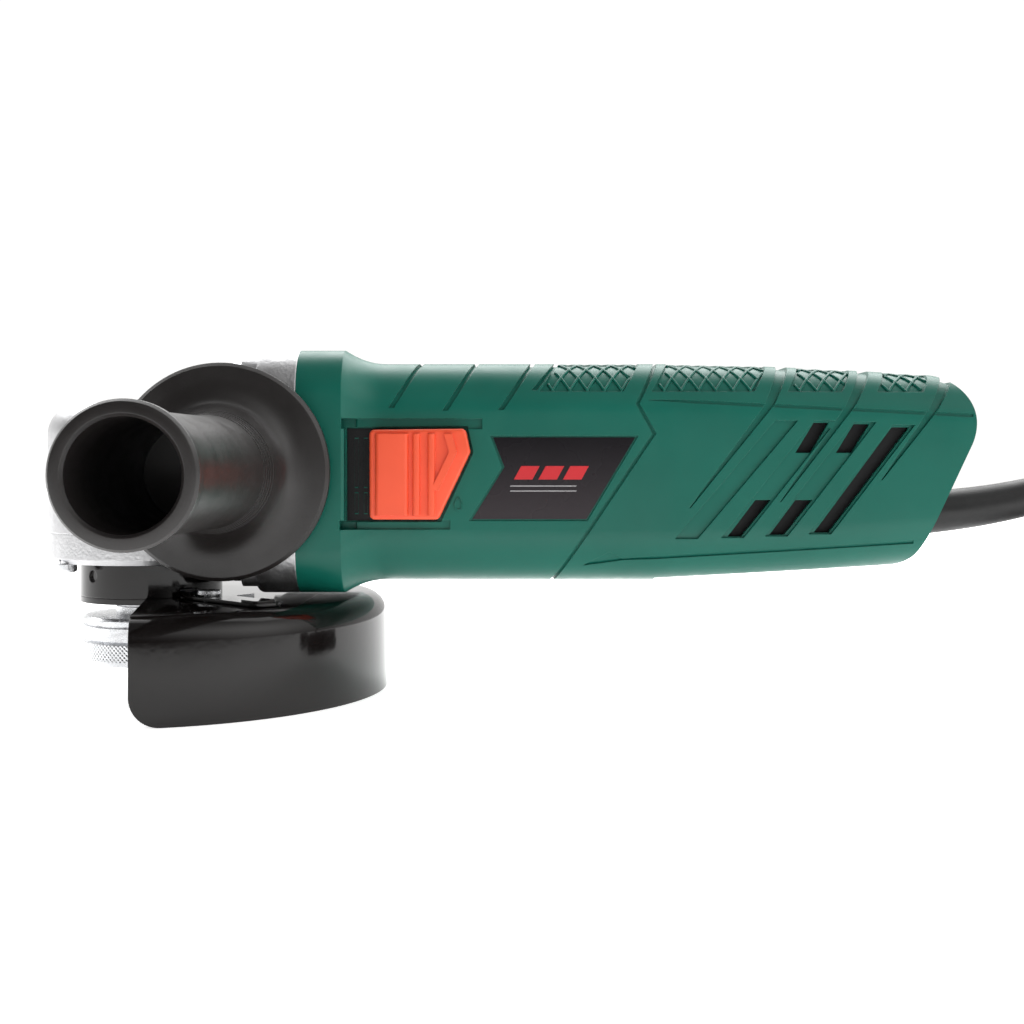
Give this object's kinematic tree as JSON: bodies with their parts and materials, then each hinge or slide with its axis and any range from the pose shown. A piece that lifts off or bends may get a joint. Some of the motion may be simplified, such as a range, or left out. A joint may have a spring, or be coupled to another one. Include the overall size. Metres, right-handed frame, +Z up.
{
  "type": "angle grinder",
  "caption": "Corded 125 mm angle grinder with slide switch, turnable guard, side handle and coiled cord.",
  "frame": {"origin": "tip of the spindle, on the spindle axis", "axes": "+X along the motor axis towards the tail and the cord, +Z up along the spindle axis, -Y towards the side handle"},
  "size_m": [0.5087, 0.2094, 0.0996],
  "materials": {
    "housing_plastic": "satin",
    "cast_aluminium": "cast",
    "guard_steel": "gloss",
    "handle_plastic": "matte",
    "zinc_steel": "turned",
    "hard_steel": "ground",
    "bearing_steel": "polished",
    "switch_plastic": "gloss",
    "label_film": "gloss",
    "black_plastic": "matte",
    "cord_rubber": "matte",
    "bronze": "satin",
    "copper": "enamelled",
    "lamination_steel": "laminated",
    "carbon": "matte",
    "felt": "matte",
    "pin_metal": "nickel"
  },
  "bodies": {
    "body": {"gear_case": "cast_aluminium", "gear_case_screws": "zinc_steel", "bearing_cover": "cast_aluminium", "bearing_cover_screws": "zinc_steel", "spindle_bush": "bronze", "dust_seal": "felt", "lock_button_spring": "hard_steel", "spindle_bearing_outer": "bearing_steel", "front_bearing_outer": "bearing_steel", "rear_bearing_outer": "bearing_steel", "rear_bearing_sleeve": "cord_rubber", "fan_baffle": "black_plastic", "stator_core": "lamination_steel", "field_coils": "copper", "brush_holders": "bronze", "carbon_brushes": "carbon", "brush_springs": "hard_steel", "power_switch": "black_plastic", "motor_housing": "housing_plastic", "rear_cover": "housing_plastic", "rear_cover_screws": "zinc_steel", "dust_screens": "black_plastic", "label_plate": "label_film", "rating_plate": "label_film", "side_handle_grip": "handle_plastic", "side_handle_stud": "zinc_steel", "cord_lead": "cord_rubber", "cord_tail": "cord_rubber", "cord_coil": "cord_rubber", "cord_sleeve": "cord_rubber", "cord_clamp": "black_plastic", "cord_clamp_screws": "zinc_steel", "plug_body": "cord_rubber", "plug_pins": "pin_metal"},
    "spindle": {"spindle": "hard_steel", "spindle_key": "hard_steel", "drive_gear": "hard_steel", "inner_flange": "zinc_steel", "lock_nut": "zinc_steel", "spindle_bearing_inner": "bearing_steel", "spindle_bearing_balls": "bearing_steel"},
    "rotor": {"armature_shaft": "hard_steel", "armature_core": "lamination_steel", "armature_windings": "copper", "commutator": "copper", "cooling_fan": "black_plastic", "pinion": "hard_steel", "pinion_nut": "zinc_steel", "front_bearing_inner": "bearing_steel", "front_bearing_balls": "bearing_steel", "rear_bearing_inner": "bearing_steel", "rear_bearing_balls": "bearing_steel"},
    "guard": {"guard_shell": "guard_steel", "guard_collar": "guard_steel", "latch_rivet": "zinc_steel", "latch_spring": "hard_steel"},
    "guard_latch": {"guard_latch": "guard_steel"},
    "switch": {"switch_slider": "switch_plastic", "switch_link_rod": "black_plastic"},
    "lock_button": {"lock_button": "black_plastic"}
  },
  "joints": [
    {"name": "spindle_spin", "type": "hinge", "parent": "body", "child": "spindle", "pos_m": [0, 0, 0], "axis": [0, 0, 1], "continuous": true},
    {"name": "rotor_spin", "type": "hinge", "parent": "body", "child": "rotor", "pos_m": [0, 0, 0.063], "axis": [1, 0, 0], "continuous": true},
    {"name": "guard_turn", "type": "hinge", "parent": "body", "child": "guard", "pos_m": [0, 0, 0], "axis": [0, 0, 1], "range_deg": [-90, 90]},
    {"name": "guard_latch_slide", "type": "slide", "parent": "guard", "child": "guard_latch", "axis": [0.7071, -0.7071, 0], "range_m": [0, 0.0025], "stiffness_N_per_m": 800, "springref_m": -0.002},
    {"name": "switch_slide", "type": "slide", "parent": "body", "child": "switch", "axis": [-1, 0, 0], "range_m": [0, 0.006]},
    {"name": "lock_button_press", "type": "slide", "parent": "body", "child": "lock_button", "axis": [0, 0, -1], "range_m": [0, 0.003], "stiffness_N_per_m": 700, "springref_m": -0.002, "deforming": ["lock_button_spring"]}
  ],
  "couplings": [
    {"joint": "rotor_spin", "follows": "spindle_spin", "ratio": 3.4}
  ]
}
